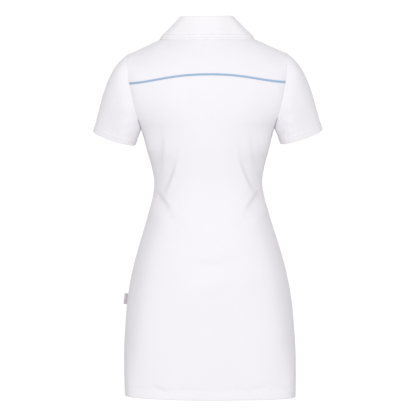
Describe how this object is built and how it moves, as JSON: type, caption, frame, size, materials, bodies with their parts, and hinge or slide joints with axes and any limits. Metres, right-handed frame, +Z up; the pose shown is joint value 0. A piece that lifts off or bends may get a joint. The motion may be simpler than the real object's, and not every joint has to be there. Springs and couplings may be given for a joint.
{
  "type": "polo dress",
  "caption": "Short-sleeved polo dress in its worn form: fitted waist, flared skirt, turned-down collar, front placket and a piped yoke seam across the back.",
  "frame": {"origin": "midway between the two high points of the shoulders, where the wearer's shoulders and neck carry the dress", "axes": "+Z up, -Y towards the dress's front, +Y towards its back, +X towards the wearer's left"},
  "size_m": [0.5488, 0.2496, 0.909],
  "materials": {
    "white_pique": "matt knitted pique",
    "white_flat_knit": "matt fine-ribbed flat knit",
    "blue_cotton": "matt woven cotton",
    "button_plastic": "satin white",
    "grey_woven": "satin woven tape"
  },
  "bodies": {
    "root": {"back": "white_pique", "back_yoke": "white_pique", "front": "white_pique", "sleeve_left": "white_pique", "sleeve_right": "white_pique", "collar": "white_flat_knit", "placket_over": "white_pique", "placket_under": "white_pique", "button_1": "button_plastic", "button_2": "button_plastic", "button_3": "button_plastic", "yoke_piping": "blue_cotton", "side_tag": "grey_woven"}
  },
  "joints": []
}
